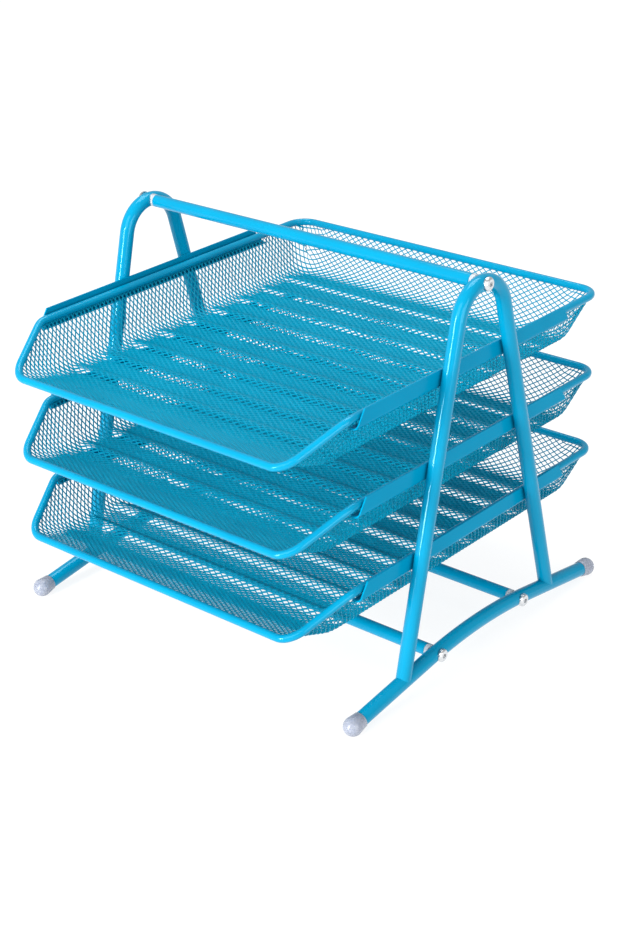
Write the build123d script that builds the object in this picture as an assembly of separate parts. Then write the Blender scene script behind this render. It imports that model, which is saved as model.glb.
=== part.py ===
from build123d import *
from math import atan2, cos, radians, sin, sqrt, tan
import os

# A three-tier document rack: two tube side frames on bowed feet carry three sliding mesh trays.
# Millimetres, +X to the right, +Y to the rear, +Z up, with the desk at z = 0.

# Round tube stock of the side frames, foot bars and crossbars
tube_diameter = 10.0
tube_wall = 1.2

# Stance of the side frames
half_track = 142.5  # middle of the rack to the centre line of a side frame
frame_setback = 4.0  # how far the side frames stand behind the middle of the trays
apex_height = 258.5  # centre line at the top of the hairpin
apex_bend_radius = 24.0
leg_lean = 14.0  # degrees from upright
weld_gap = 0.1  # room for weld metal between two welded pieces

# Bowed foot bars
foot_half_length = 122.0  # level distance from the middle to the end of the tube
foot_bow_half_span = 55.0
foot_end_slope = 8.5  # degrees below level

# Plastic caps on the ends of the foot bars
cap_sleeve_diameter = 12.6
cap_sleeve_length = 11.0  # how far the sleeve reaches over the tube
cap_ball_diameter = 13.5
cap_ball_offset = 7.8  # end of the tube to the middle of the ball
cap_pad_diameter = 5.0  # the flat that stands on the desk
cap_fit = 0.1

# Crossbars, with the washers, screws and inserts at their ends
crossbar_half_spread = 45.3  # the two low crossbars lie this far from the middle of the feet
washer_gap = 4.5  # square end of a crossbar to the nearest line of the tube
washer_wrap = 2.0  # how far the washer's horns reach round the tube
washer_fit = 0.1
screw_diameter = 5.0
screw_length = 25.0
screw_clearance = 0.1
screw_head_diameter = 9.0
screw_head_height = 2.6
screw_head_round = 1.8
screw_seat_depth = 0.6  # flat milled into the tube under the head
screw_socket_flats = 3.0
screw_socket_depth = 1.5
insert_length = 12.0
insert_fit = 0.1

# Rails, one pair to each tier
tiers = ("bottom", "middle", "top")
bottom_rail_height = 96.4  # upper edge of the lowest pair
tier_pitch = 57.4
rail_sheet = 1.0
rail_height = 12.0
rail_bend_radius = 2.0  # inside of the fold
rail_half_length = 102.5  # along the upper edge
rail_end_slant = 8.0  # how much further each end reaches along the ledge
slide_clearance = 0.3  # edge of the ledge to the tray's leaning wall

# Rim wire of a tray
rim_diameter = 5.2
rim_side_gap = 1.0  # wire to the rail's web
rim_below_rail = 5.4  # upper edge of the rail to the wire's centre line
rim_half_depth = 152.6  # middle of the tray to the wire's centre line, front and rear
rim_dip_start = 112.5  # in front of the middle, where the rim bends down to the lip
rim_bend_radius = 20.0

# Drawn pan of a tray, measured on the middle of its sheet
pan_depth = 33.3  # rim's centre line down to the floor
pan_sheet = 1.0
pan_wall_lean = 22.0  # degrees from upright
pan_drawn_radius = 15.0
pan_lip_run = 36.0
pan_lip_rise = 11.5
pan_lip_inset = 16.8  # how far the side walls draw in towards the front rim
rib_count = 9
rib_pitch = 26.9
rib_middle = 8.6  # the row of ribs lies this far behind the middle of the tray
rib_height = 3.0
rib_crest = 5.0
rib_base = 11.0

# Grid of openings in the pan, a coarse form of its expanded metal
opening_columns = 8
opening_web = 3.0  # sheet left between two openings
opening_band_top = 9.0  # rim's centre line down to the openings in the walls
lip_rows = 2

# Extra length of every cutting shape
overrun = 10.0

# Sizes that follow from those above
tube_radius = tube_diameter / 2
tube_bore_radius = tube_radius - tube_wall
rim_radius = rim_diameter / 2
lean = radians(leg_lean)
slope = radians(foot_end_slope)
wall_lean = radians(pan_wall_lean)
ball_radius = cap_ball_diameter / 2
ball_height = sqrt(ball_radius**2 - (cap_pad_diameter / 2) ** 2)
foot_end_height = ball_height + cap_ball_offset * sin(slope)
foot_bow_radius = foot_bow_half_span / sin(slope)
foot_vertex_height = foot_end_height + foot_half_length * tan(slope)
foot_crown_height = foot_vertex_height - foot_bow_radius * (1 / cos(slope) - 1)
crossbar_drop = foot_bow_radius - sqrt(foot_bow_radius**2 - crossbar_half_spread**2)
low_crossbar_height = foot_crown_height - crossbar_drop
crossbar_end = half_track - tube_radius - washer_gap
rail_face = half_track - tube_radius - weld_gap
rim_half_width = rail_face - rail_sheet - rim_side_gap - rim_radius
rim_dip_drop = pan_depth - pan_lip_rise
lip_half_width = rim_half_width - pan_lip_inset
wall_bend_run = pan_drawn_radius * tan(radians(90 - pan_wall_lean) / 2)  # corner to the end of its bend
lip_slope = atan2(pan_lip_rise, pan_lip_run)
lip_bend_run = pan_drawn_radius * tan(lip_slope / 2)
floor_half_width = rim_half_width - pan_depth * tan(wall_lean) - wall_bend_run
first_rib = rib_middle - rib_pitch * (rib_count - 1) / 2
form_clearance = pan_drawn_radius + 2 * overrun  # how far a cutting shape reaches past the drawn form

# Where the screws pass through the side frames and the foot bars, as (y, z)
apex_spot = (frame_setback, apex_height)
front_spot = (frame_setback - crossbar_half_spread, low_crossbar_height)
rear_spot = (frame_setback + crossbar_half_spread, low_crossbar_height)

# Upright plane of the right side frame, seen from the right: local x runs to the rear, local y up
side_plane = Plane(origin=(half_track, frame_setback, 0), x_dir=(0, 1, 0), z_dir=(1, 0, 0))


def swept(path, radius):
    """Round bar along a path, with its seam a quarter turn away from the screw holes."""
    section = Plane(origin=path @ 0, z_dir=path % 0) * Rot(Z=90) * Circle(radius)
    return sweep(section, path=path)


def round_bar(radius, start, end, spot):
    """Round bar along X from start to end, about the line through (y, z)."""
    seat = Plane(origin=(start, *spot), z_dir=(1, 0, 0))
    return seat * Cylinder(radius, end - start, align=(Align.CENTER, Align.CENTER, Align.MIN))


def mirrored(shape):
    """The same piece on the left side."""
    return mirror(shape, about=Plane.YZ)


# Side frames and feet


def frame_path():
    """Centre line of the hairpin, from the front foot over the apex to the rear foot."""
    vertex = apex_height + apex_bend_radius * (1 / sin(lean) - 1)
    spread = (vertex - foot_vertex_height) * tan(lean) / (1 - tan(slope) * tan(lean))
    foot = foot_vertex_height - spread * tan(slope)
    return side_plane * FilletPolyline((-spread, foot), (0, vertex), (spread, foot), radius=apex_bend_radius)


def foot_path():
    """Centre line of a foot bar: two straight ends joined by one long bow."""
    front = (-foot_half_length, foot_end_height)
    rear = (foot_half_length, foot_end_height)
    return side_plane * FilletPolyline(front, (0, foot_vertex_height), rear, radius=foot_bow_radius)


def tube_along(path, spots):
    """Tube along a path, with a cross hole and a flat for the screw's head at each spot."""
    inside = half_track - tube_radius
    outside = half_track + tube_radius
    tube = swept(path, tube_radius)
    for spot in spots:
        flat_radius = screw_head_diameter / 2 + screw_clearance
        tube -= round_bar(flat_radius, outside - screw_seat_depth, outside + overrun, spot)
    for spot in spots:
        hole_radius = screw_diameter / 2 + screw_clearance
        tube -= round_bar(hole_radius, inside - overrun, outside + overrun, spot)
    return tube - swept(path, tube_bore_radius)


def side_frame():
    """Hairpin whose legs are cut to sit on the foot bar."""
    return tube_along(frame_path(), [apex_spot]) - swept(foot_path(), tube_radius + weld_gap)


def foot_bar():
    return tube_along(foot_path(), [front_spot, rear_spot])


def foot_cap(toward):
    """Cap of the right foot bar; toward is -1 at the front and 1 at the rear."""
    outward = Vector(0, toward * cos(slope), -sin(slope))
    tube_end = Vector(half_track, frame_setback + toward * foot_half_length, foot_end_height)
    sleeve_radius = cap_sleeve_diameter / 2
    bore_radius = tube_radius + cap_fit
    shoulder = cap_ball_offset - sqrt(ball_radius**2 - sleeve_radius**2)
    mouth = (-cap_sleeve_length, sleeve_radius)
    neck = (shoulder, sleeve_radius)
    tip = (cap_ball_offset + ball_radius, 0)
    seat = (cap_fit, 0)
    outline = make_face(
        [
            Polyline((-cap_sleeve_length, bore_radius), mouth, neck),
            ThreePointArc(neck, (cap_ball_offset, ball_radius), tip),
            Polyline(tip, seat, (cap_fit, bore_radius), (-cap_sleeve_length, bore_radius)),
        ]
    )
    face = Plane(origin=tube_end, x_dir=outward, z_dir=(1, 0, 0)) * outline
    cap = revolve(face, axis=Axis(tube_end, outward))
    return split(cap, bisect_by=Plane.XY, keep=Keep.TOP)


# Crossbars and their fastenings


def crossbar(spot):
    bar = round_bar(tube_radius, -crossbar_end, crossbar_end, spot)
    return bar - round_bar(tube_bore_radius, -crossbar_end, crossbar_end, spot)


def saddle_washer(spot, path):
    """Spacer with a square face for the crossbar and a hollow face for the tube."""
    tip = crossbar_end + washer_gap + washer_wrap
    washer = round_bar(tube_radius, crossbar_end, tip, spot)
    washer -= round_bar(screw_diameter / 2 + screw_clearance, crossbar_end, tip, spot)
    return washer - swept(path, tube_radius + washer_fit)


def crossbar_screw(spot):
    seat = half_track + tube_radius - screw_seat_depth
    head = round_bar(screw_head_diameter / 2, seat, seat + screw_head_height, spot)
    crown = head.faces().sort_by(Axis.X)[-1]
    head = fillet(crown.edges(), screw_head_round)
    socket = RegularPolygon(screw_socket_flats / 2, 6, major_radius=False)
    crown_plane = Plane(origin=(seat + screw_head_height, *spot), z_dir=(1, 0, 0))
    head -= extrude(crown_plane * socket, amount=-screw_socket_depth)
    return head + round_bar(screw_diameter / 2, seat - screw_length, seat, spot)


def threaded_insert(spot):
    start = crossbar_end - insert_length
    insert = round_bar(tube_bore_radius - insert_fit, start, crossbar_end, spot)
    return insert - round_bar(screw_diameter / 2 + screw_clearance, start, crossbar_end, spot)


def both_sides(pieces):
    """A group of pieces of the right side with their mirror images."""
    return Compound(pieces + [mirrored(piece) for piece in pieces])


# Rails


def rail(upper_edge):
    """Folded channel of the right side: an upright web with slanted ends and a narrow ledge."""
    lower_edge = upper_edge - rail_height
    rim_above_ledge = rail_height - rail_sheet - rim_below_rail
    wall_at_ledge = rim_half_width - rim_above_ledge * tan(wall_lean)
    ledge_edge = wall_at_ledge + pan_sheet / cos(wall_lean) / 2 + slide_clearance
    fold = (rail_face, lower_edge)
    inner_fold = (rail_face - rail_sheet, lower_edge + rail_sheet)
    web = FilletPolyline(
        (rail_face, upper_edge), fold, (ledge_edge, lower_edge), radius=rail_bend_radius + rail_sheet
    )
    inside = FilletPolyline(
        (ledge_edge, inner_fold[1]), inner_fold, (inner_fold[0], upper_edge), radius=rail_bend_radius
    )
    section = make_face([web, Line(web @ 1, inside @ 0), inside, Line(inside @ 1, web @ 0)])
    ledge_half_length = rail_half_length + rail_end_slant
    channel = extrude(Plane.XZ * section, amount=ledge_half_length + overrun, both=True)
    ends = Polyline(
        (-rail_half_length, upper_edge),
        (-ledge_half_length, lower_edge),
        (ledge_half_length, lower_edge),
        (rail_half_length, upper_edge),
        close=True,
    )
    return channel & extrude(Plane.YZ * make_face(ends), amount=half_track)


# Trays, drawn with the rim's centre line at z = 0


def form_planes():
    """Planes of the drawn form on the middle of its sheet, each facing outward."""
    up_wall = Vector(sin(wall_lean), 0, cos(wall_lean))
    bend = Vector(rim_half_width, -rim_dip_start, 0)
    lip_corner = Vector(lip_half_width, -rim_half_depth, -rim_dip_drop)
    draw_in = up_wall.cross(lip_corner - bend)
    planes = [
        Plane(origin=(0, 0, -pan_depth), z_dir=(0, 0, -1)),
        Plane(origin=(0, rim_half_depth, 0), z_dir=(0, cos(wall_lean), -sin(wall_lean))),
        Plane(origin=(0, -rim_half_depth, -rim_dip_drop), z_dir=(0, -pan_lip_rise, -pan_lip_run)),
    ]
    for side in (-1, 1):
        wall = (side * cos(wall_lean), 0, -sin(wall_lean))
        planes.append(Plane(origin=(side * rim_half_width, 0, 0), z_dir=wall))
        front_wall = (side * draw_in.X, draw_in.Y, draw_in.Z)
        planes.append(Plane(origin=(side * bend.X, bend.Y, 0), z_dir=front_wall))
    return planes


def pan_form(grow):
    """Filled drawn form whose skin lies outside the middle of the sheet by grow."""
    width = 2 * (rim_half_width + form_clearance)
    depth = 2 * (rim_half_depth + overrun)
    block = Box(width, depth, pan_depth + overrun, align=(Align.CENTER, Align.CENTER, Align.MAX))
    core = Pos(0, 0, overrun) * block
    for plane in form_planes():
        core = split(core, bisect_by=plane.offset(-pan_drawn_radius), keep=Keep.BOTTOM)
    return offset(core, pan_drawn_radius + grow, kind=Kind.ARC)


def above_rim():
    """Everything above the rim line, which is level and dips at the front."""
    far = rim_half_depth + form_clearance
    dip_slope = rim_dip_drop / (rim_half_depth - rim_dip_start)
    front_end = (-far, -(far - rim_dip_start) * dip_slope)
    line = FilletPolyline((far, 0), (-rim_dip_start, 0), front_end, radius=rim_bend_radius)
    lid = make_face([line, Polyline(front_end, (-far, form_clearance), (far, form_clearance), (far, 0))])
    return extrude(Plane.YZ * lid, amount=rim_half_width + form_clearance, both=True)


def rim_path():
    """Edge of the drawn form where the rim line cuts it."""
    form = pan_form(0) - above_rim()
    lids = [face for face in form.faces() if face.normal_at().Z > 0]
    edges = [edge for face in lids for edge in face.edges()]
    outline = [edge for edge in edges if sum(edge.is_same(other) for other in edges) == 1]
    return Wire(outline, sequenced=True)


def ribs(base):
    """Row of bars with slanted flanks across the whole floor, standing on the height base."""
    foot = rib_base / 2
    crest = rib_crest / 2
    section = Polyline(
        (-foot, base), (foot, base), (crest, base + rib_height), (-crest, base + rib_height), close=True
    )
    bar = extrude(Plane.YZ * make_face(section), amount=rim_half_width, both=True)
    return [Pos(0, first_rib + rib_pitch * place, 0) * bar for place in range(rib_count)]


def opening(place, across, facing, width, height):
    """Bar through the sheet at a place, with its width along across."""
    outline = Plane(origin=place, x_dir=across, z_dir=facing) * Rectangle(width, height)
    return extrude(outline, amount=overrun, both=True)


def opening_places(half_width):
    """Middles of the columns of openings over a width."""
    pitch = 2 * half_width / opening_columns
    return [pitch * (column + 1 / 2) - half_width for column in range(opening_columns)]


def openings():
    """Grid of openings: the floor between its ribs, the lip, and a band of the rear and side walls."""
    column_width = 2 * floor_half_width / opening_columns - opening_web
    floor_rows = [first_rib + rib_pitch * (row + 1 / 2) for row in range(rib_count - 1)]
    floor_height = rib_pitch - rib_base - opening_web
    band_start = opening_band_top / cos(wall_lean)
    band_end = pan_depth / cos(wall_lean) - wall_bend_run
    band_middle = (band_start + band_end) / 2
    band_height = band_end - band_start - opening_web
    band_inset = band_middle * sin(wall_lean)
    band_level = -band_middle * cos(wall_lean)
    bars = []
    for x in opening_places(floor_half_width):
        for y in floor_rows:
            bars.append(opening((x, y, -pan_depth), (1, 0, 0), (0, 0, 1), column_width, floor_height))
        rear = (x, rim_half_depth - band_inset, band_level)
        facing = (0, cos(wall_lean), -sin(wall_lean))
        bars.append(opening(rear, (1, 0, 0), facing, column_width, band_height))
    for side in (-1, 1):
        for y in floor_rows:
            place = (side * (rim_half_width - band_inset), y, band_level)
            facing = (side * cos(wall_lean), 0, -sin(wall_lean))
            bars.append(opening(place, (0, 1, 0), facing, rib_pitch - opening_web, band_height))
    return bars + lip_openings()


def lip_openings():
    """Rows of openings in the sloped lip, from its bend to the rim wire."""
    half_width = lip_half_width - wall_bend_run
    width = 2 * half_width / opening_columns - opening_web
    pitch = (pan_lip_run / cos(lip_slope) - lip_bend_run - rim_radius) / lip_rows
    bars = []
    for row in range(lip_rows):
        reach = lip_bend_run + pitch * (row + 1 / 2)
        y = pan_lip_run - rim_half_depth - reach * cos(lip_slope)
        z = reach * sin(lip_slope) - pan_depth
        for x in opening_places(half_width):
            facing = (0, sin(lip_slope), cos(lip_slope))
            bars.append(opening((x, y, z), (1, 0, 0), facing, width, pitch - opening_web))
    return bars


def pan(path):
    """Drawn sheet with pressed ribs and a grid of openings, ending just short of the rim wire."""
    half_sheet = pan_sheet / 2
    hollow = pan_form(-half_sheet) - ribs(-pan_depth + half_sheet)
    sheet = pan_form(half_sheet) - hollow - ribs(-pan_depth - half_sheet)
    return sheet - openings() - above_rim() - swept(path, rim_radius + weld_gap)


# All the pieces by name


def build_nodes():
    frame = side_frame()
    bar = foot_bar()
    front_cap = foot_cap(-1)
    rear_cap = foot_cap(1)
    spots = (apex_spot, front_spot, rear_spot)
    nodes = {
        "side_frame_right": frame,
        "side_frame_left": mirrored(frame),
        "foot_bar_right": bar,
        "foot_bar_left": mirrored(bar),
        "foot_cap_front_right": front_cap,
        "foot_cap_front_left": mirrored(front_cap),
        "foot_cap_rear_right": rear_cap,
        "foot_cap_rear_left": mirrored(rear_cap),
        "top_crossbar": crossbar(apex_spot),
        "front_crossbar": crossbar(front_spot),
        "rear_crossbar": crossbar(rear_spot),
        "crossbar_screws": both_sides([crossbar_screw(spot) for spot in spots]),
        "threaded_inserts": both_sides([threaded_insert(spot) for spot in spots]),
        "saddle_washers": both_sides(
            [
                saddle_washer(apex_spot, frame_path()),
                saddle_washer(front_spot, foot_path()),
                saddle_washer(rear_spot, foot_path()),
            ]
        ),
    }
    path = rim_path()
    rim = swept(path, rim_radius)
    tray_pan = pan(path)
    for level, tier in enumerate(tiers):
        upper_edge = bottom_rail_height + level * tier_pitch
        channel = rail(upper_edge)
        nodes[f"rail_right_{tier}"] = channel
        nodes[f"rail_left_{tier}"] = mirrored(channel)
        lift = Pos(0, 0, upper_edge - rim_below_rail)
        nodes[f"tray_{tier}_pan"] = lift * tray_pan
        nodes[f"tray_{tier}_rim"] = lift * rim
    return nodes


os.makedirs("parts", exist_ok=True)
for name, shape in build_nodes().items():
    export_step(shape, f"parts/{name}.step")
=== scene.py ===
"""Looks of a three-tier document rack: expanded-metal trays, painted tube frame, plastic and plated fittings.

Metres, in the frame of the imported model: +X to the right, +Y to the rear, +Z up, desk at z = 0.
"""
from math import atan, atan2, cos, pi, radians, sin, tan

import bmesh
import bpy
import numpy as np
from mathutils import Matrix, Vector


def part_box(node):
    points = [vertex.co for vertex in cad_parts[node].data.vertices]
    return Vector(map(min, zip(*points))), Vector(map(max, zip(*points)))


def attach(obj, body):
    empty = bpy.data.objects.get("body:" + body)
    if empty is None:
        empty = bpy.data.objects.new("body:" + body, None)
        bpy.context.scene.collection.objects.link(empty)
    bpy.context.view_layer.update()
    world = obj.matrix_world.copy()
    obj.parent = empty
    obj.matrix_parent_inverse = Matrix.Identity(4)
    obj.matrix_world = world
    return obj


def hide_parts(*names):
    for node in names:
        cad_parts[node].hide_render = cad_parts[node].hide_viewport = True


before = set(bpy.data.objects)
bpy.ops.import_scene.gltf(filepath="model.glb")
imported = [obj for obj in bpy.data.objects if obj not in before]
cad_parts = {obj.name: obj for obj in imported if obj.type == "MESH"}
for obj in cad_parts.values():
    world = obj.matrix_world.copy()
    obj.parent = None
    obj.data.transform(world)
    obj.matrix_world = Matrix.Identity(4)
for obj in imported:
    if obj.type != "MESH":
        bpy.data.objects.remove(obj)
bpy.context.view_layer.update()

TIERS = ("bottom", "middle", "top")

# Photograph's frame and camera
IMAGE_HEIGHT = 931
SENSOR_SIZE = 36.0
FOCAL_PIXELS = 1869.0
CAMERA_PLACE = Vector((0.7690, -0.8674, 0.6505))
CAMERA_AZIMUTH = radians(41.44)
CAMERA_ELEVATION = radians(25.59)
CAMERA_ROLL = radians(-1.77)

# Drawn form of a pan, on the middle of its sheet and from the rim wire's centre line
RIM_RADIUS = 0.0026
PAN_DEPTH = 0.0333
WALL_LEAN = radians(22.0)
DRAWN_RADIUS = 0.015
DIP_START = 0.1125
DIP_BEND_RADIUS = 0.020
LIP_RUN = 0.036
LIP_RISE = 0.0115
LIP_HALF_WIDTH = 0.116

# Pressed ribs across the floor
RIB_COUNT = 9
RIB_PITCH = 0.0269
RIB_MIDDLE = 0.0086
RIB_HEIGHT = 0.0020
RIB_CREST = 0.0050
RIB_BASE = 0.0110

# Expanded metal
OPENING_LENGTH = 0.0058  # across the tray, knuckle to knuckle
OPENING_WIDTH = 0.0038  # along the tray
SIDE_STRETCH = 1.18  # openings are drawn out on the side walls
STRAND_WIDTH = 0.00065
STRAND_THICKNESS = 0.0004
STRAND_TILT = 0.0002
FLOOR_EXTRA_WIDTH = 0.00024  # the undrawn floor keeps wider and steeper strands
FLOOR_EXTRA_TILT = 0.00042
FLOOR_FADE = 0.005  # height over which they change to those of the walls
MARGIN_OPENINGS = 5  # openings laid out beyond the rim and then trimmed
WIRE_OVERLAP = 0.0008  # how far the mesh ends reach into the rim wire
RELAX_ROUNDS = 120
PROJECTION_SWEEPS = 12
TRIM_ROUNDS = 4
PROFILE_SAMPLES = 8001
SHORTEST_LENGTH = 1e-9  # keeps divisions by a length safe

# Feet, plugged into the tube ends
FOOT_SLOPE = radians(8.5)
SOLID_BALL_RADIUS = 0.00675  # ball of the plain cap that the plug stands in for
SOLID_PAD_RADIUS = 0.0025
BALL_RADIUS = 0.0064
BALL_OFFSET = 0.0078  # end of the tube to the middle of the ball
COLLAR_RADIUS = 0.0055
STEM_RADIUS = 0.0037
STEM_LENGTH = 0.008
SEAT_GAP = 0.0001

# Crossbars and the saddle bushes at their ends
TUBE_RADIUS = 0.005
BAR_RADIUS = 0.0043
BAR_EXTRA_REACH = 0.0025  # how much nearer to the tubes the bars end than their solids
BAR_BORE_RADIUS = 0.00375
BUSH_BORE_RADIUS = 0.0026
BUSH_FIT = 0.0002  # hollow face of a bush to the tube
EDGE_BREAK = 0.0003
TURN_STEPS = 48
DOME_STEPS = 12
WELD_DISTANCE = 1e-7
SHARP_ANGLE = radians(40)

# Paint: colours from shade to light, range of roughness, and share of the full reflection
TUBE_COLOURS = ((0.000, 0.225, 0.395), (0.000, 0.250, 0.430))
MESH_COLOURS = ((0.000, 0.225, 0.365), (0.000, 0.250, 0.400))
TUBE_ROUGHNESS = (0.08, 0.13)
RAIL_ROUGHNESS = (0.15, 0.22)
MESH_ROUGHNESS = (0.24, 0.34)
TUBE_REFLECTION = 0.30
RAIL_REFLECTION = 0.04
MESH_REFLECTION = 0.12
PAINT_SHEEN = (0.50, 0.95, 1.00, 1.0)  # tone of the paint's reflections
DRIFT_SCALE = 22.0
GLOSS_SCALE = 90.0
PEEL_SCALE = 1100.0
PEEL_DEPTH = 0.00002
PEEL_STRENGTH = 0.25

# Milky plastic
CAP_COLOURS = ((0.32, 0.35, 0.43), (0.40, 0.43, 0.51))
BUSH_COLOURS = ((0.50, 0.55, 0.60), (0.58, 0.62, 0.67))
PLASTIC_ROUGHNESS = (0.20, 0.32)
CLOUD_SCALE = 160.0
CLOUD_DETAIL = 3.0
PLASTIC_GLOSS_SCALE = 300.0
MOULD_SCALE = 400.0
MOULD_DEPTH = 0.00002
MOULD_STRENGTH = 0.1
SCATTER_WEIGHT = 0.6
SCATTER_RADIUS = (1.0, 1.0, 1.1)
SCATTER_SCALE = 0.003
CLEAR_SHARE = 0.25

# Zinc plating
PLATING_COLOURS = ((0.62, 0.64, 0.66), (0.82, 0.83, 0.84))
PLATING_ROUGHNESS = (0.16, 0.32)
STAIN_SCALE = 700.0
STAIN_DETAIL = 4.0
PLATING_GLOSS_SCALE = 1200.0
GRAIN_SCALE = 1500.0
GRAIN_DEPTH = 0.00001
GRAIN_STRENGTH = 0.2

# Where a noise starts and ends its change of colour
RAMP_SHARES = (0.3, 0.7)
NOISE_DETAIL = 2.0

# Studio: floor, world and lights as (place, width, height, watts)
FLOOR_HALF_SIZE = 30.0
FLOOR_COLOURS = ((0.20, 0.20, 0.20), (0.22, 0.22, 0.22))
FLOOR_SCALE = 3.0
FLOOR_ROUGHNESS = 0.9
FLOOR_GLOW = 0.85
WHITE = (1.0, 1.0, 1.0, 1.0)
WORLD_STRENGTH = 0.55
VIEW_DISTANCE = 100.0
LIGHT_AIM = (0, 0, 0.12)
LIGHTS = {
    "key_light": ((0.23, -1.62, 1.27), 1.2, 1.2, 16.0),
    "strip_light": ((-0.2, -1.8, 0.4), 0.24, 1.0, 46.0),
    "side_light": ((1.75, -0.4, 0.5), 1.0, 1.0, 14.0),
    "top_light": ((-0.3, 0.5, 2.0), 1.2, 1.2, 24.0),
}


# Shape of the drawn pan


def tray_sizes(tier):
    """Half width and half depth of a rim's centre line, and its level."""
    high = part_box(f"tray_{tier}_rim")[1]
    return high.x - RIM_RADIUS, high.y - RIM_RADIUS, high.z - RIM_RADIUS


HALF_WIDTH, HALF_DEPTH, _ = tray_sizes(TIERS[0])
DIP_DROP = PAN_DEPTH - LIP_RISE
LIP_ANGLE = atan2(LIP_RISE, LIP_RUN)
WALL_ANGLE = pi / 2 - WALL_LEAN


def form_planes():
    """Outward normals and offsets of the planes that bound the drawn form."""
    up_wall = Vector((sin(WALL_LEAN), 0, cos(WALL_LEAN)))
    bend = Vector((HALF_WIDTH, -DIP_START, 0))
    lip_corner = Vector((LIP_HALF_WIDTH, -HALF_DEPTH, -DIP_DROP))
    draw_in = up_wall.cross(lip_corner - bend).normalized()
    planes = [
        (Vector((0, 0, -1)), Vector((0, 0, -PAN_DEPTH))),
        (Vector((0, cos(WALL_LEAN), -sin(WALL_LEAN))), Vector((0, HALF_DEPTH, 0))),
        (Vector((0, -LIP_RISE, -LIP_RUN)).normalized(), Vector((0, -HALF_DEPTH, -DIP_DROP))),
    ]
    for side in (-1, 1):
        mirror = Vector((side, 1, 1))
        wall_normal = Vector((side * cos(WALL_LEAN), 0, -sin(WALL_LEAN)))
        planes.append((wall_normal, Vector((side * HALF_WIDTH, 0, 0))))
        planes.append((draw_in * mirror, bend * mirror))
    normals = np.array([normal for normal, _ in planes])
    offsets = np.array([normal.dot(spot) for normal, spot in planes])
    return normals, offsets


def onto_skin(points, normals, offsets):
    """Nearest points of the drawn form, whose edges are rounded by the drawn radius."""
    flat = points.reshape(-1, 3)
    core = flat.copy()
    carried = np.zeros((len(normals),) + flat.shape)
    for _ in range(PROJECTION_SWEEPS):
        for place, normal in enumerate(normals):
            trial = core + carried[place]
            over = np.maximum(trial @ normal - (offsets[place] - DRAWN_RADIUS), 0.0)
            core = trial - over[:, None] * normal
            carried[place] = trial - core
    away = flat - core
    away /= np.maximum(np.linalg.norm(away, axis=1, keepdims=True), SHORTEST_LENGTH)
    return (core + DRAWN_RADIUS * away).reshape(points.shape)


def bent_profile(run, corner, angle):
    """Level distance and height at a run along a floor that bends up by an angle at its corner."""
    start = corner - DRAWN_RADIUS * tan(angle / 2)
    turn = np.clip((run - start) / DRAWN_RADIUS, 0.0, angle)
    straight = np.maximum(run - start - DRAWN_RADIUS * angle, 0.0)
    level = np.minimum(run, start) + DRAWN_RADIUS * np.sin(turn) + straight * cos(angle)
    height = DRAWN_RADIUS * (1 - np.cos(turn)) + straight * sin(angle)
    return level, height


def rib_lift(y):
    """Height of the floor's ribs at y, with soft edges."""
    first = RIB_MIDDLE - RIB_PITCH * (RIB_COUNT - 1) / 2
    place = np.clip(np.round((y - first) / RIB_PITCH), 0, RIB_COUNT - 1)
    from_middle = np.abs(y - first - place * RIB_PITCH)
    flank = np.clip((RIB_BASE / 2 - from_middle) / (RIB_BASE / 2 - RIB_CREST / 2), 0.0, 1.0)
    return RIB_HEIGHT * flank * flank * (3 - 2 * flank)


def rim_line(y):
    """Height of the rim's centre line at y: level, then dipping to the lip round a bend."""
    slope = DIP_DROP / (HALF_DEPTH - DIP_START)
    turn = atan(slope)
    tangent = DIP_BEND_RADIUS * tan(turn / 2)
    past = -y - DIP_START
    on_bend = np.clip(past + tangent, 0.0, DIP_BEND_RADIUS * sin(turn))
    bend_drop = DIP_BEND_RADIUS - np.sqrt(DIP_BEND_RADIUS**2 - on_bend**2)
    beyond = np.maximum(past - tangent * cos(turn), 0.0)
    return -(bend_drop + beyond * slope)


# Expanded metal sheet


def side_runs():
    """Side profile at the columns of points, a half opening apart and stretched on the walls."""
    corner = HALF_WIDTH - PAN_DEPTH * tan(WALL_LEAN)
    wall_start = corner - DRAWN_RADIUS * tan(WALL_ANGLE / 2)
    rim_run = wall_start + DRAWN_RADIUS * WALL_ANGLE + PAN_DEPTH / cos(WALL_LEAN)
    count = int(rim_run / (OPENING_LENGTH / 2)) + MARGIN_OPENINGS * 2
    material = np.arange(-count, count + 1) * OPENING_LENGTH / 2
    beyond = np.maximum(np.abs(material) - wall_start, 0.0)
    runs = np.sign(material) * (np.abs(material) + beyond * (SIDE_STRETCH - 1))
    level, height = bent_profile(np.abs(runs), corner, WALL_ANGLE)
    return runs, np.sign(runs) * level, height


def length_runs():
    """Lengthwise profile at the rows of points, which keep their spacing over the ribs."""
    front_corner = HALF_DEPTH - LIP_RUN
    rear_corner = HALF_DEPTH - PAN_DEPTH * tan(WALL_LEAN)
    reach = HALF_DEPTH + PAN_DEPTH + MARGIN_OPENINGS * OPENING_WIDTH
    fine = np.linspace(-reach, reach, PROFILE_SAMPLES)
    lift = rib_lift(fine)
    along = np.concatenate([[0.0], np.cumsum(np.hypot(np.diff(fine), np.diff(lift)))])
    along -= np.interp(RIB_MIDDLE, fine, along)
    front_count = int(-along[0] / (OPENING_WIDTH / 2))
    rear_count = int(along[-1] / (OPENING_WIDTH / 2))
    runs = np.interp(np.arange(-front_count, rear_count + 1) * OPENING_WIDTH / 2, along, fine)
    front_level, front_height = bent_profile(-runs, front_corner, LIP_ANGLE)
    rear_level, rear_height = bent_profile(runs, rear_corner, WALL_ANGLE)
    level = np.where(runs < 0, -front_level, rear_level)
    height = np.where(runs < 0, front_height, rear_height)
    return runs, level, height


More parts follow.
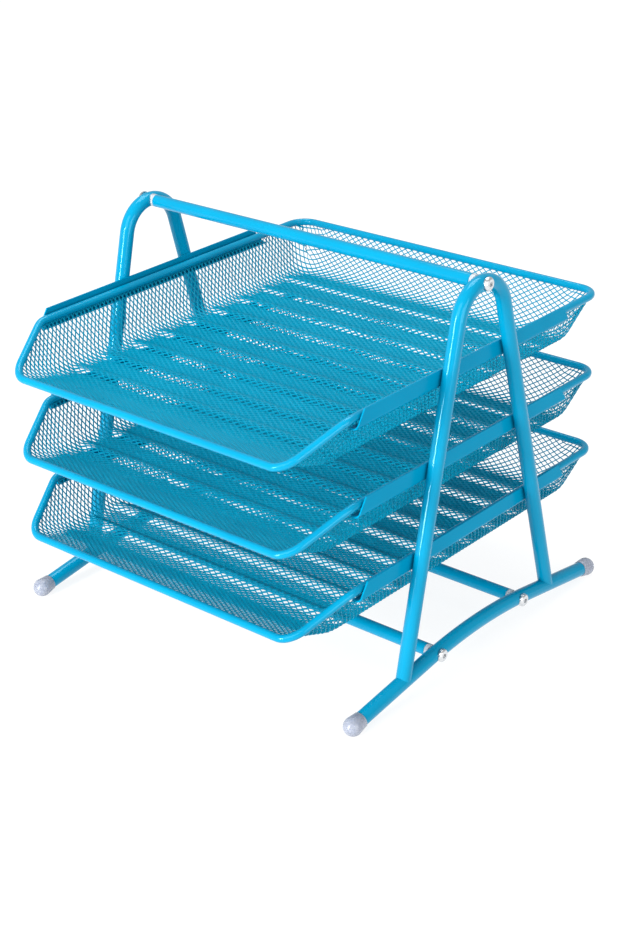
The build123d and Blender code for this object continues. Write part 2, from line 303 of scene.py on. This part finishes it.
def pulled(points, ahead, behind, rest):
    """Correction that brings two neighbouring sets of points to their rest distance."""
    gap = points[ahead] - points[behind]
    length = np.linalg.norm(gap, axis=2, keepdims=True)
    return gap * (1 - rest[:, :, None] / np.maximum(length, SHORTEST_LENGTH)) / 2


def sheet_points():
    """Grid of points over the drawn pan: knuckles where the indices add up even, openings between."""
    across, x, x_height = side_runs()
    along, y, y_height = length_runs()
    normals, offsets = form_planes()
    shape = (len(across), len(along))
    points = np.empty(shape + (3,))
    points[:, :, 0] = x[:, None]
    points[:, :, 1] = y[None, :]
    points[:, :, 2] = x_height[:, None] + y_height[None, :] - PAN_DEPTH
    points = onto_skin(points, normals, offsets)
    step_x = np.diff(across)[:, None]
    step_y = np.diff(along)[None, :]
    everything = slice(None)
    later = slice(1, None)
    earlier = slice(None, -1)
    links = [
        ((later, everything), (earlier, everything), np.broadcast_to(step_x, (shape[0] - 1, shape[1]))),
        ((everything, later), (everything, earlier), np.broadcast_to(step_y, (shape[0], shape[1] - 1))),
        ((later, later), (earlier, earlier), np.hypot(step_x, step_y)),
        ((later, earlier), (earlier, later), np.hypot(step_x, step_y)),
    ]
    for _ in range(RELAX_ROUNDS):
        shift = np.zeros_like(points)
        for ahead, behind, rest in links:
            pull = pulled(points, ahead, behind, rest)
            shift[ahead] -= pull
            shift[behind] += pull
        points = onto_skin(points + shift / len(links), normals, offsets)
    floor_lift = -PAN_DEPTH + rib_lift(points[:, :, 1])
    points[:, :, 2] = np.maximum(points[:, :, 2], floor_lift)
    return points


def trimmed(points):
    """Points no higher than where the mesh enters the rim wire, and which of them were cut back."""
    normals, offsets = form_planes()
    end_drop = RIM_RADIUS - WIRE_OVERLAP
    cut = points[:, 2] > rim_line(points[:, 1]) - end_drop
    ends = points[cut]
    for _ in range(TRIM_ROUNDS):
        ends[:, 2] = np.minimum(ends[:, 2], rim_line(ends[:, 1]) - end_drop)
        ends = onto_skin(ends, normals, offsets)
    points = points.copy()
    points[cut] = ends
    return points, cut


def mesh_faces(shape):
    """Quads of the knuckles and strands, over four corners to each opening in the order +x, +y, -x, -y."""
    columns, rows = shape
    i, j = np.meshgrid(np.arange(columns), np.arange(rows), indexing="ij")
    inner = (i > 0) & (i < columns - 1) & (j > 0) & (j < rows - 1)
    opening = inner & ((i + j) % 2 == 1)
    number = np.full(shape, -1)
    number[opening] = np.arange(opening.sum())

    def corner(di, dj, which):
        found = np.full(shape, -1)
        source = number[max(di, 0):columns + min(di, 0), max(dj, 0):rows + min(dj, 0)]
        found[max(-di, 0):columns + min(-di, 0), max(-dj, 0):rows + min(-dj, 0)] = source
        return np.where(found >= 0, found * 4 + which, -1)

    right, front, left, rear = corner(1, 0, 2), corner(0, -1, 1), corner(-1, 0, 0), corner(0, 1, 3)
    joined = inner & ~opening
    knuckle = np.stack([right, rear, left, front], axis=2)[joined]
    rising = np.stack([right, corner(1, 0, 1), corner(0, 1, 0), rear], axis=2)[joined]
    falling = np.stack([corner(1, 0, 3), right, front, corner(0, -1, 0)], axis=2)[joined]
    faces = np.concatenate([knuckle, rising, falling])
    return opening, faces[(faces >= 0).all(axis=1)]


def expanded_metal():
    """Vertices and faces of one pan's mesh as a closed sheet with thickness."""
    points = sheet_points()
    along_x = np.gradient(points, axis=0)
    along_y = np.gradient(points, axis=1)
    normal = np.cross(along_x, along_y)
    normal /= np.linalg.norm(normal, axis=2, keepdims=True)
    opening, faces = mesh_faces(points.shape[:2])
    half_angle = atan2(OPENING_WIDTH, OPENING_LENGTH)
    i, j = np.nonzero(opening)
    lift = points[i, j, 2:] + PAN_DEPTH
    floor_share = np.clip(1 - lift / FLOOR_FADE, 0.0, 1.0)
    strand_width = STRAND_WIDTH + FLOOR_EXTRA_WIDTH * floor_share
    strand_tilt = STRAND_TILT + FLOOR_EXTRA_TILT * floor_share
    end_share = strand_width / 2 / sin(half_angle) / (OPENING_LENGTH / 2)
    side_share = strand_width / 2 / cos(half_angle) / (OPENING_WIDTH / 2)
    upright = normal[i, j]
    corners = []
    corner_kinds = (
        (1, 0, end_share, 0),
        (0, 1, side_share, -1),
        (-1, 0, end_share, 0),
        (0, -1, side_share, 1),
    )
    for di, dj, share, tilt in corner_kinds:
        knuckle = points[i + di, j + dj]
        corners.append(knuckle + (points[i, j] - knuckle) * share + upright * tilt * strand_tilt)
    middle = np.stack(corners, axis=1).reshape(-1, 3)
    upright = np.repeat(upright, len(corners), axis=0)
    middle, cut = trimmed(middle)
    faces = faces[~cut[faces].all(axis=1)]
    used, faces = np.unique(faces, return_inverse=True)
    faces = faces.reshape(-1, 4)
    count = len(used)
    half = upright[used] * STRAND_THICKNESS / 2
    vertices = np.concatenate([middle[used] + half, middle[used] - half])
    starts = faces.ravel()
    ends = np.roll(faces, -1, axis=1).ravel()
    lone = ~np.isin(starts * count + ends, ends * count + starts)
    walls = np.stack([ends[lone], starts[lone], starts[lone] + count, ends[lone] + count], axis=1)
    return vertices, np.concatenate([faces, faces[:, ::-1] + count, walls])


def linked(name, data):
    """New object of the scene."""
    thing = bpy.data.objects.new(name, data)
    bpy.context.scene.collection.objects.link(thing)
    return thing


def make_piece(name, vertices, faces, finish):
    """New mesh object with smooth shading and one finish."""
    mesh = bpy.data.meshes.new(name)
    mesh.from_pydata(vertices.tolist(), [], faces.tolist())
    mesh.materials.append(finish)
    mesh.shade_smooth()
    return linked(name, mesh)


# Turned fittings


def turned(shape, profile, seat):
    """Add a profile of (run, radius) points, turned about the x axis of a seat; returns the new vertices."""
    line = [shape.verts.new((run, radius, 0)) for run, radius in profile]
    links = [shape.edges.new(pair) for pair in zip(line, line[1:])]
    known = set(shape.verts) - set(line)
    bmesh.ops.spin(
        shape,
        geom=line + links,
        axis=(1, 0, 0),
        cent=(0, 0, 0),
        angle=2 * pi,
        steps=TURN_STEPS,
        use_merge=True,
    )
    fresh = [vertex for vertex in shape.verts if vertex not in known]
    bmesh.ops.remove_doubles(shape, verts=fresh, dist=WELD_DISTANCE)
    fresh = [vertex for vertex in shape.verts if vertex not in known]
    bmesh.ops.transform(shape, matrix=seat, verts=fresh)
    return fresh


def finished(name, shape, finish):
    """Piece of the frame from a built-up shape, with smooth shading up to its sharp edges."""
    bmesh.ops.recalc_face_normals(shape, faces=shape.faces)
    mesh = bpy.data.meshes.new(name)
    shape.to_mesh(mesh)
    shape.free()
    mesh.materials.append(finish)
    mesh.shade_smooth()
    mesh.set_sharp_from_angle(angle=SHARP_ANGLE)
    piece = linked(name, mesh)
    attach(piece, "frame")
    return piece


def plug_foot(node, finish):
    """Round-headed plug in the end of a foot bar, flat where it stands."""
    low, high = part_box(node)
    toward = 1 if low.y > 0 else -1
    outer = high.y if toward > 0 else low.y
    ball_height = (SOLID_BALL_RADIUS**2 - SOLID_PAD_RADIUS**2) ** 0.5
    ball = Vector(((low.x + high.x) / 2, outer - toward * SOLID_BALL_RADIUS, ball_height))
    outward = Vector((0, toward * cos(FOOT_SLOPE), -sin(FOOT_SLOPE)))
    dome = [pi / 2 * step / DOME_STEPS for step in range(DOME_STEPS + 1)]
    profile = [
        (-STEM_LENGTH, 0),
        (-STEM_LENGTH, STEM_RADIUS),
        (SEAT_GAP, STEM_RADIUS),
        (SEAT_GAP, COLLAR_RADIUS - EDGE_BREAK),
        (SEAT_GAP + EDGE_BREAK, COLLAR_RADIUS),
    ]
    profile += [(BALL_OFFSET + BALL_RADIUS * sin(turn), BALL_RADIUS * cos(turn)) for turn in dome[:-1]]
    profile.append((BALL_OFFSET + BALL_RADIUS, 0))
    seat = Vector((1, 0, 0)).rotation_difference(outward).to_matrix().to_4x4()
    seat.translation = ball - outward * BALL_OFFSET
    shape = bmesh.new()
    for vertex in turned(shape, profile, seat):
        vertex.co.z = max(vertex.co.z, 0.0)
    piece = finished(f"{node}_plug", shape, finish)
    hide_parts(node)


def ring_profile(start, end, bore, radius):
    """Closed outline of a tube with broken edges."""
    return [
        (start, bore),
        (start, radius - EDGE_BREAK),
        (start + EDGE_BREAK, radius),
        (end - EDGE_BREAK, radius),
        (end, radius - EDGE_BREAK),
        (end, bore),
        (start, bore),
    ]


def slim_crossbar(node, finish):
    """Tube on the axis of a crossbar, slimmer than its solid and a little longer."""
    low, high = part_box(node)
    shape = bmesh.new()
    seat = Matrix.Translation((0, (low.y + high.y) / 2, (low.z + high.z) / 2))
    reach = high.x + BAR_EXTRA_REACH
    turned(shape, ring_profile(-reach, reach, BAR_BORE_RADIUS, BAR_RADIUS), seat)
    piece = finished(f"{node}_tube", shape, finish)
    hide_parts(node)


def saddle_bushes(bars, finish):
    """Bushes at both ends of the bars, hollowed to sit on the side tubes."""
    horn_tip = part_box("saddle_washers")[1].x
    tube_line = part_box("side_frame_right")[1].x - TUBE_RADIUS
    shape = bmesh.new()
    for bar in bars:
        bar_low, bar_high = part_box(bar)
        seat = Matrix.Translation((0, (bar_low.y + bar_high.y) / 2, (bar_low.z + bar_high.z) / 2))
        for side in (-1, 1):
            profile = ring_profile(bar_high.x + BAR_EXTRA_REACH, horn_tip, BUSH_BORE_RADIUS, BAR_RADIUS)
            turn = Matrix.Diagonal((side, 1, 1, 1))
            for vertex in turned(shape, profile, seat @ turn):
                rise = vertex.co.z - seat.translation.z
                hollow = tube_line - (TUBE_RADIUS**2 - rise**2) ** 0.5 - BUSH_FIT
                vertex.co.x = side * min(abs(vertex.co.x), hollow)
    piece = finished("saddle_bushes", shape, finish)
    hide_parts("saddle_washers")


# Finishes


def new_finish(name):
    """Material with its node tree, Principled shader and object coordinates."""
    finish = bpy.data.materials.new(name)
    finish.use_nodes = True
    tree = finish.node_tree
    shader = tree.nodes["Principled BSDF"]
    coordinates = tree.nodes.new("ShaderNodeTexCoord").outputs["Object"]
    return finish, tree, shader, coordinates


def noise(tree, coordinates, scale, detail=NOISE_DETAIL):
    """Noise over the coordinates."""
    node = tree.nodes.new("ShaderNodeTexNoise")
    node.inputs["Scale"].default_value = scale
    node.inputs["Detail"].default_value = detail
    tree.links.new(coordinates, node.inputs["Vector"])
    return node.outputs["Fac"]


def ramp(tree, factor, colours):
    """Colour ramp from a shade to a light colour."""
    node = tree.nodes.new("ShaderNodeValToRGB")
    for element, place, colour in zip(node.color_ramp.elements, RAMP_SHARES, colours):
        element.position = place
        element.color = (*colour, 1.0)
    tree.links.new(factor, node.inputs["Fac"])
    return node.outputs["Color"]


def spread(tree, factor, low, high):
    """A factor mapped to a range of values."""
    node = tree.nodes.new("ShaderNodeMapRange")
    node.inputs["To Min"].default_value = low
    node.inputs["To Max"].default_value = high
    tree.links.new(factor, node.inputs["Value"])
    return node.outputs["Result"]


def bump(tree, shader, height, distance, strength):
    """Fine relief on a shader's surface."""
    node = tree.nodes.new("ShaderNodeBump")
    node.inputs["Distance"].default_value = distance
    node.inputs["Strength"].default_value = strength
    tree.links.new(height, node.inputs["Height"])
    tree.links.new(node.outputs["Normal"], shader.inputs["Normal"])


def powder_coat(name, colours, roughness, reflection):
    """Baked paint: slight colour drift, uneven gloss and orange peel."""
    finish, tree, shader, coordinates = new_finish(name)
    drift = noise(tree, coordinates, DRIFT_SCALE)
    tree.links.new(ramp(tree, drift, colours), shader.inputs["Base Color"])
    gloss = noise(tree, coordinates, GLOSS_SCALE)
    tree.links.new(spread(tree, gloss, *roughness), shader.inputs["Roughness"])
    bump(tree, shader, noise(tree, coordinates, PEEL_SCALE), PEEL_DEPTH, PEEL_STRENGTH)
    shader.inputs["Specular IOR Level"].default_value = reflection
    shader.inputs["Specular Tint"].default_value = PAINT_SHEEN
    return finish


def milky_plastic(name, colours):
    """Soft translucent moulding with a faint cloudiness."""
    finish, tree, shader, coordinates = new_finish(name)
    cloud = noise(tree, coordinates, CLOUD_SCALE, CLOUD_DETAIL)
    tree.links.new(ramp(tree, cloud, colours), shader.inputs["Base Color"])
    gloss = noise(tree, coordinates, PLASTIC_GLOSS_SCALE)
    tree.links.new(spread(tree, gloss, *PLASTIC_ROUGHNESS), shader.inputs["Roughness"])
    bump(tree, shader, noise(tree, coordinates, MOULD_SCALE), MOULD_DEPTH, MOULD_STRENGTH)
    shader.inputs["Subsurface Weight"].default_value = SCATTER_WEIGHT
    shader.inputs["Subsurface Radius"].default_value = SCATTER_RADIUS
    shader.inputs["Subsurface Scale"].default_value = SCATTER_SCALE
    shader.inputs["Transmission Weight"].default_value = CLEAR_SHARE
    return finish


def plated_steel(name):
    """Zinc plating with a fine grain and small stains."""
    finish, tree, shader, coordinates = new_finish(name)
    shader.inputs["Metallic"].default_value = 1.0
    stain = noise(tree, coordinates, STAIN_SCALE, STAIN_DETAIL)
    tree.links.new(ramp(tree, stain, PLATING_COLOURS), shader.inputs["Base Color"])
    gloss = noise(tree, coordinates, PLATING_GLOSS_SCALE)
    tree.links.new(spread(tree, gloss, *PLATING_ROUGHNESS), shader.inputs["Roughness"])
    bump(tree, shader, noise(tree, coordinates, GRAIN_SCALE), GRAIN_DEPTH, GRAIN_STRENGTH)
    return finish


def dress_node(name, finish):
    """Give all of a node one finish."""
    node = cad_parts[name]
    if not node.data.materials:
        node.data.materials.append(finish)
    for slot in node.material_slots:
        slot.material = finish


tube_paint = powder_coat("tube_paint", TUBE_COLOURS, TUBE_ROUGHNESS, TUBE_REFLECTION)
mesh_paint = powder_coat("mesh_paint", MESH_COLOURS, MESH_ROUGHNESS, MESH_REFLECTION)
rail_paint = powder_coat("rail_paint", TUBE_COLOURS, RAIL_ROUGHNESS, RAIL_REFLECTION)
cap_plastic = milky_plastic("cap_plastic", CAP_COLOURS)
washer_plastic = milky_plastic("washer_plastic", BUSH_COLOURS)
screw_plating = plated_steel("screw_plating")

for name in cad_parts:
    if name.startswith("foot_cap"):
        dress_node(name, cap_plastic)
    elif name == "saddle_washers":
        dress_node(name, washer_plastic)
    elif name in ("crossbar_screws", "threaded_inserts"):
        dress_node(name, screw_plating)
    elif name.startswith("rail"):
        dress_node(name, rail_paint)
    else:
        dress_node(name, tube_paint)

crossbars = ("top_crossbar", "front_crossbar", "rear_crossbar")
for name in crossbars:
    slim_crossbar(name, tube_paint)
saddle_bushes(crossbars, washer_plastic)
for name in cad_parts:
    if name.startswith("foot_cap"):
        plug_foot(name, cap_plastic)

mesh_vertices, mesh_quads = expanded_metal()
for tier in TIERS:
    level = tray_sizes(tier)[2]
    piece = make_piece(f"tray_{tier}_mesh", mesh_vertices + np.array([0, 0, level]), mesh_quads, mesh_paint)
    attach(piece, f"tray_{tier}")
    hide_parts(f"tray_{tier}_pan")


# Studio


def studio_floor():
    """Pale floor with a glow of its own, so that it stays white in the picture."""
    mesh = bpy.data.meshes.new("studio_floor")
    size = FLOOR_HALF_SIZE
    corners = [(-size, -size, 0), (size, -size, 0), (size, size, 0), (-size, size, 0)]
    mesh.from_pydata(corners, [], [(0, 1, 2, 3)])
    finish, tree, shader, coordinates = new_finish("studio_floor")
    drift = noise(tree, coordinates, FLOOR_SCALE)
    tree.links.new(ramp(tree, drift, FLOOR_COLOURS), shader.inputs["Base Color"])
    shader.inputs["Roughness"].default_value = FLOOR_ROUGHNESS
    shader.inputs["Specular IOR Level"].default_value = 0.0
    shader.inputs["Emission Color"].default_value = WHITE
    shader.inputs["Emission Strength"].default_value = FLOOR_GLOW
    mesh.materials.append(finish)
    linked("studio_floor", mesh)


def soft_box(name, place, aim, width, height, power):
    """Area light at a place, turned to a point."""
    light = bpy.data.lights.new(name, "AREA")
    light.shape = "RECTANGLE"
    light.size = width
    light.size_y = height
    light.energy = power
    lamp = linked(name, light)
    lamp.location = place
    lamp.rotation_euler = (Vector(aim) - Vector(place)).to_track_quat("-Z", "Y").to_euler()
    lamp.visible_camera = False


def photo_camera():
    """Camera where the photograph was taken."""
    camera = bpy.data.cameras.new("photo_camera")
    camera.sensor_width = SENSOR_SIZE
    camera.lens = FOCAL_PIXELS * SENSOR_SIZE / IMAGE_HEIGHT
    camera.clip_end = VIEW_DISTANCE
    back = Vector(
        (
            sin(CAMERA_AZIMUTH) * cos(CAMERA_ELEVATION),
            -cos(CAMERA_AZIMUTH) * cos(CAMERA_ELEVATION),
            sin(CAMERA_ELEVATION),
        )
    )
    right = Vector((cos(CAMERA_AZIMUTH), sin(CAMERA_AZIMUTH), 0))
    up = back.cross(right)
    turned_right = cos(CAMERA_ROLL) * right + sin(CAMERA_ROLL) * up
    turned_up = cos(CAMERA_ROLL) * up - sin(CAMERA_ROLL) * right
    seat = Matrix((turned_right, turned_up, back)).transposed().to_4x4()
    seat.translation = CAMERA_PLACE
    holder = linked("photo_camera", camera)
    holder.matrix_world = seat
    bpy.context.scene.camera = holder


studio_floor()
for name, (place, width, height, power) in LIGHTS.items():
    soft_box(name, place, LIGHT_AIM, width, height, power)
world = bpy.data.worlds.new("studio")
world.use_nodes = True
backdrop = world.node_tree.nodes["Background"]
backdrop.inputs["Color"].default_value = WHITE
backdrop.inputs["Strength"].default_value = WORLD_STRENGTH
bpy.context.scene.world = world
bpy.context.scene.view_settings.view_transform = "Standard"
photo_camera()
